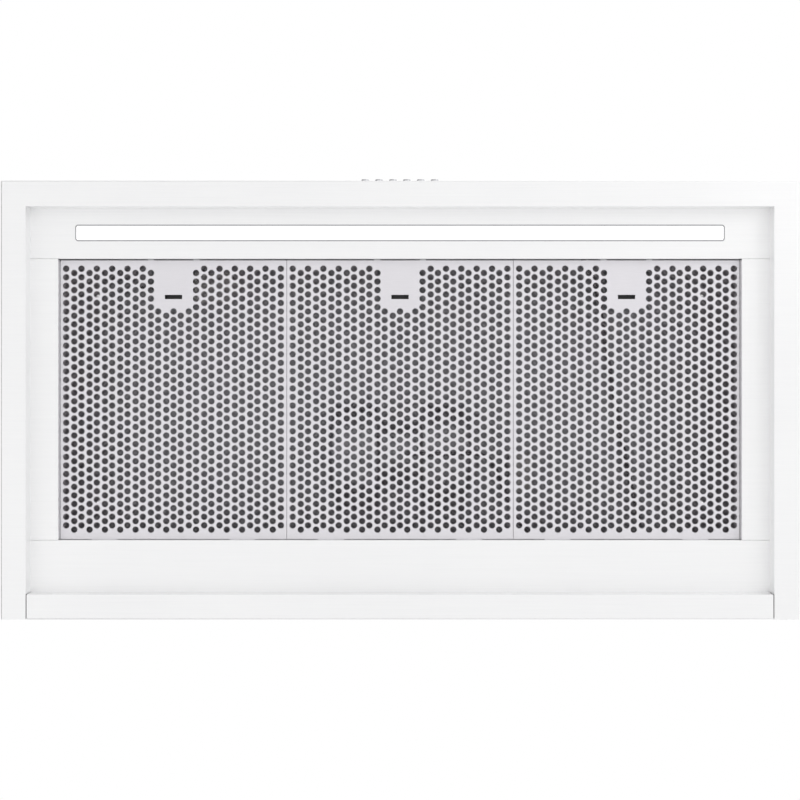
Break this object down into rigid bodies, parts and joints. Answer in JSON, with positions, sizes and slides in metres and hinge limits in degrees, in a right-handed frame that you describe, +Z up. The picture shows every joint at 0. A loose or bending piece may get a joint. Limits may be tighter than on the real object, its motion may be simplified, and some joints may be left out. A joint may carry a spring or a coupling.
{
  "type": "under cabinet range hood",
  "caption": "Wide stainless canopy that fixes under a cabinet, with drop-down perforated grease filters, a strip lamp, push buttons and a round top duct collar.",
  "frame": {"origin": "centre of the cabinet screw pattern, on the outside of the top panel", "axes": "+X to the right seen from the front, +Y towards the wall, +Z up into the cabinet"},
  "size_m": [0.911, 0.5047, 0.228],
  "materials": {
    "brushed_steel": "fine brushed stainless sheet",
    "galvanised_steel": "dull zinc coated sheet",
    "filter_steel": "satin stainless sheet",
    "filter_mesh": "folded expanded foil",
    "latch_steel": "satin",
    "button_steel": "turned satin metal",
    "shaft_steel": "ground steel",
    "lamp_lens": "frosted diffuser",
    "dark_rubber": "matt",
    "aluminium": "extruded",
    "circuit_board": "green board",
    "white_plastic": "moulded",
    "grey_plastic": "moulded",
    "black_plastic": "moulded",
    "grey_cable": "flexible sheath",
    "copper_winding": "enamelled wire and laminations"
  },
  "bodies": {
    "hood": {"canopy_shell": "brushed_steel", "top_panel": "galvanised_steel", "rear_panel": "brushed_steel", "front_liner": "brushed_steel", "rear_liner": "brushed_steel", "left_liner": "brushed_steel", "right_liner": "brushed_steel", "lamp_lens": "lamp_lens", "lamp_seal": "dark_rubber", "lamp_channel": "aluminium", "led_board": "circuit_board", "led_driver": "white_plastic", "control_housing": "grey_plastic", "control_board": "circuit_board", "motor_housing": "galvanised_steel", "motor_stator": "copper_winding", "motor_bracket": "galvanised_steel", "left_scroll": "galvanised_steel", "right_scroll": "galvanised_steel", "left_inlet_ring": "galvanised_steel", "right_inlet_ring": "galvanised_steel", "outlet_plate": "galvanised_steel", "duct_collar": "galvanised_steel", "damper_pin": "shaft_steel", "junction_box": "galvanised_steel", "junction_cover": "galvanised_steel", "terminal_block": "white_plastic", "cable_bush": "black_plastic", "capacitor": "white_plastic", "control_lead": "grey_cable", "motor_lead": "grey_cable", "lamp_lead": "grey_cable", "panel_screws": "shaft_steel", "collar_screws": "shaft_steel", "blower_screws": "shaft_steel"},
    "rotor": {"motor_shaft": "shaft_steel", "motor_rotor": "shaft_steel", "left_wheel": "galvanised_steel", "right_wheel": "galvanised_steel"},
    "front_flap": {"front_flap": "galvanised_steel"},
    "rear_flap": {"rear_flap": "galvanised_steel"},
    "left_filter": {"left_filter_tray": "filter_steel", "left_latch_channel": "black_plastic", "left_filter_mesh": "filter_mesh", "left_latch_springs": "latch_steel"},
    "left_latch": {"left_latch": "latch_steel"},
    "centre_filter": {"centre_filter_tray": "filter_steel", "centre_latch_channel": "black_plastic", "centre_filter_mesh": "filter_mesh", "centre_latch_springs": "latch_steel"},
    "centre_latch": {"centre_latch": "latch_steel"},
    "right_filter": {"right_filter_tray": "filter_steel", "right_latch_channel": "black_plastic", "right_filter_mesh": "filter_mesh", "right_latch_springs": "latch_steel"},
    "right_latch": {"right_latch": "latch_steel"},
    "power_button": {"power_button": "button_steel"},
    "timer_button": {"timer_button": "button_steel"},
    "low_button": {"low_button": "button_steel"},
    "medium_button": {"medium_button": "button_steel"},
    "high_button": {"high_button": "button_steel"},
    "light_button": {"light_button": "button_steel"}
  },
  "joints": [
    {"name": "left_filter_hinge", "type": "hinge", "parent": "hood", "child": "left_filter", "pos_m": [-0.26293, 0.1624, -0.1492], "axis": [1, 0, 0], "range_deg": [0, 80]},
    {"name": "left_latch_slide", "type": "slide", "parent": "left_filter", "child": "left_latch", "axis": [0, 1, 0], "range_m": [0, 0.003], "stiffness_N_per_m": 400, "springref_m": -0.004, "deforming": ["left_latch_springs"]},
    {"name": "centre_filter_hinge", "type": "hinge", "parent": "hood", "child": "centre_filter", "pos_m": [0, 0.1624, -0.1492], "axis": [1, 0, 0], "range_deg": [0, 80]},
    {"name": "centre_latch_slide", "type": "slide", "parent": "centre_filter", "child": "centre_latch", "axis": [0, 1, 0], "range_m": [0, 0.003], "stiffness_N_per_m": 400, "springref_m": -0.004, "deforming": ["centre_latch_springs"]},
    {"name": "right_filter_hinge", "type": "hinge", "parent": "hood", "child": "right_filter", "pos_m": [0.26293, 0.1624, -0.1492], "axis": [1, 0, 0], "range_deg": [0, 80]},
    {"name": "right_latch_slide", "type": "slide", "parent": "right_filter", "child": "right_latch", "axis": [0, 1, 0], "range_m": [0, 0.003], "stiffness_N_per_m": 400, "springref_m": -0.004, "deforming": ["right_latch_springs"]},
    {"name": "power_button_push", "type": "slide", "parent": "hood", "child": "power_button", "axis": [0, 1, 0], "range_m": [0, 0.002], "stiffness_N_per_m": 500, "springref_m": -0.001},
    {"name": "timer_button_push", "type": "slide", "parent": "hood", "child": "timer_button", "axis": [0, 1, 0], "range_m": [0, 0.002], "stiffness_N_per_m": 500, "springref_m": -0.001},
    {"name": "low_button_push", "type": "slide", "parent": "hood", "child": "low_button", "axis": [0, 1, 0], "range_m": [0, 0.002], "stiffness_N_per_m": 500, "springref_m": -0.001},
    {"name": "medium_button_push", "type": "slide", "parent": "hood", "child": "medium_button", "axis": [0, 1, 0], "range_m": [0, 0.002], "stiffness_N_per_m": 500, "springref_m": -0.001},
    {"name": "high_button_push", "type": "slide", "parent": "hood", "child": "high_button", "axis": [0, 1, 0], "range_m": [0, 0.002], "stiffness_N_per_m": 500, "springref_m": -0.001},
    {"name": "light_button_push", "type": "slide", "parent": "hood", "child": "light_button", "axis": [0, 1, 0], "range_m": [0, 0.002], "stiffness_N_per_m": 500, "springref_m": -0.001},
    {"name": "blower_spin", "type": "hinge", "parent": "hood", "child": "rotor", "pos_m": [0, 0.06455, -0.06062], "axis": [1, 0, 0], "continuous": true},
    {"name": "rear_flap_hinge", "type": "hinge", "parent": "hood", "child": "rear_flap", "pos_m": [0, 0.11, 0.022], "axis": [1, 0, 0], "range_deg": [0, 75]},
    {"name": "front_flap_hinge", "type": "hinge", "parent": "hood", "child": "front_flap", "pos_m": [0, 0.11, 0.022], "axis": [-1, 0, 0], "range_deg": [0, 75]}
  ]
}
